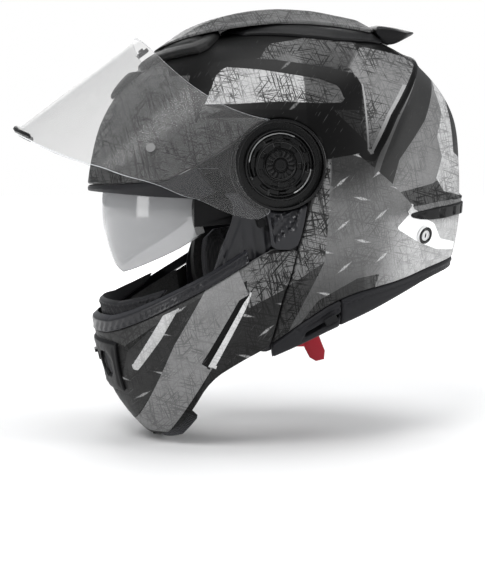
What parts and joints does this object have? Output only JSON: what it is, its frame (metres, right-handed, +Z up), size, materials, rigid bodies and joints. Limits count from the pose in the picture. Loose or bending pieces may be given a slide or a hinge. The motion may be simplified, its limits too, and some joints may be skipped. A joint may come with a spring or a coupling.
{
  "type": "motorcycle helmet",
  "caption": "Flip-up motorcycle helmet with a hinged chin bar, a clear visor raised on the same pivots, a drop-down sun visor, vents, foam and cloth liners and a buckled chin strap.",
  "frame": {"origin": "middle of the axis that the chin bar and the visor turn on, beside the wearer's temples", "axes": "+Z up when worn with the head level, the wearer faces -Y, the wearer's left is +X"},
  "size_m": [0.251, 0.3593, 0.3385],
  "materials": {
    "painted_shell": "satin graphic over grey",
    "black_plastic": "fine grained",
    "fairing_grey": "satin",
    "rubber_trim": "matt",
    "foam": "moulded bead foam",
    "liner_fabric": "brushed knit",
    "webbing": "woven",
    "steel": "satin",
    "red_plastic": "satin",
    "clear_visor": "polished",
    "tinted_visor": "polished",
    "white_plastic": "satin"
  },
  "bodies": {
    "shell": {"outer_shell": "painted_shell", "foam_liner": "foam", "foam_cheeks": "foam", "crown_liner": "liner_fabric", "cheek_pad_left": "liner_fabric", "cheek_pad_right": "liner_fabric", "neck_roll": "liner_fabric", "rim_trim_rear": "rubber_trim", "rim_trim_left": "rubber_trim", "rim_trim_right": "rubber_trim", "brow_gasket": "rubber_trim", "side_frame_left": "black_plastic", "side_frame_right": "black_plastic", "hub_base_left": "black_plastic", "hub_base_right": "black_plastic", "latch_pins": "steel", "frame_bolts": "steel", "brow_vent_cowl": "black_plastic", "crown_fairing": "fairing_grey", "fairing_base": "black_plastic", "tail_spoiler": "black_plastic", "rear_vent_strip": "black_plastic", "rear_plugs": "white_plastic", "strap_anchors": "steel", "chin_strap_left": "webbing", "chin_strap_right": "webbing", "strap_buckle": "black_plastic", "buckle_hinge_pin": "steel", "ratchet_tongue": "black_plastic", "sun_visor_pins": "steel"},
    "buckle_release": {"buckle_lever": "red_plastic"},
    "brow_slider": {"brow_vent_slider": "black_plastic"},
    "sun_visor": {"sun_visor_lens": "tinted_visor", "sun_visor_arms": "black_plastic"},
    "sun_lever": {"sun_visor_lever": "black_plastic"},
    "chin_bar": {"chin_bar_shell": "painted_shell", "chin_bar_liner": "foam", "chin_bar_gasket": "rubber_trim", "chin_vent_housing": "black_plastic", "breath_guard": "rubber_trim", "chin_curtain": "liner_fabric", "pivot_arm_left": "black_plastic", "pivot_arm_right": "black_plastic", "pivot_cover_left": "black_plastic", "pivot_cover_right": "black_plastic", "hub_cap_left": "black_plastic", "hub_cap_right": "black_plastic", "hub_screws": "steel"},
    "chin_shutter": {"chin_vent_shutter": "black_plastic"},
    "latch": {"latch_hooks": "steel"},
    "release_button": {"chin_release_button": "black_plastic"},
    "visor": {"visor_lens": "clear_visor", "visor_tab": "black_plastic", "visor_ring_left": "black_plastic", "visor_ring_right": "black_plastic", "pinlock_pins": "clear_visor"}
  },
  "joints": [
    {"name": "chin_bar_flip", "type": "hinge", "parent": "shell", "child": "chin_bar", "pos_m": [0, 0, 0], "axis": [-1, 0, 0], "range_deg": [0, 73]},
    {"name": "visor_tilt", "type": "hinge", "parent": "chin_bar", "child": "visor", "pos_m": [0, 0, 0], "axis": [-1, 0, 0], "range_deg": [-52, 0]},
    {"name": "sun_visor_swing", "type": "hinge", "parent": "shell", "child": "sun_visor", "pos_m": [0, -0.016, -0.034], "axis": [-1, 0, 0], "range_deg": [0, 36]},
    {"name": "sun_lever_slide", "type": "slide", "parent": "shell", "child": "sun_lever", "axis": [0, -0.8746, -0.4848], "range_m": [0, 0.014]},
    {"name": "brow_slider_slide", "type": "slide", "parent": "shell", "child": "brow_slider", "axis": [0, 0.809, 0.5878], "range_m": [0, 0.006]},
    {"name": "chin_shutter_slide", "type": "slide", "parent": "chin_bar", "child": "chin_shutter", "axis": [0, 0, -1], "range_m": [0, 0.006]},
    {"name": "release_button_press", "type": "slide", "parent": "chin_bar", "child": "release_button", "axis": [0, 0, 1], "range_m": [0, 0.004], "stiffness_N_per_m": 800},
    {"name": "latch_turn", "type": "hinge", "parent": "chin_bar", "child": "latch", "pos_m": [0, -0.055, -0.117], "axis": [-1, 0, 0], "range_deg": [0, 5]},
    {"name": "buckle_release_turn", "type": "hinge", "parent": "shell", "child": "buckle_release", "pos_m": [0.03, 0.028, -0.1266], "axis": [0, -1, 0], "range_deg": [0, 40]}
  ],
  "couplings": [
    {"joint": "sun_lever_slide", "follows": "sun_visor_swing", "m_per_rad": 0.022282},
    {"joint": "latch_turn", "follows": "release_button_press", "rad_per_m": 21.817}
  ]
}
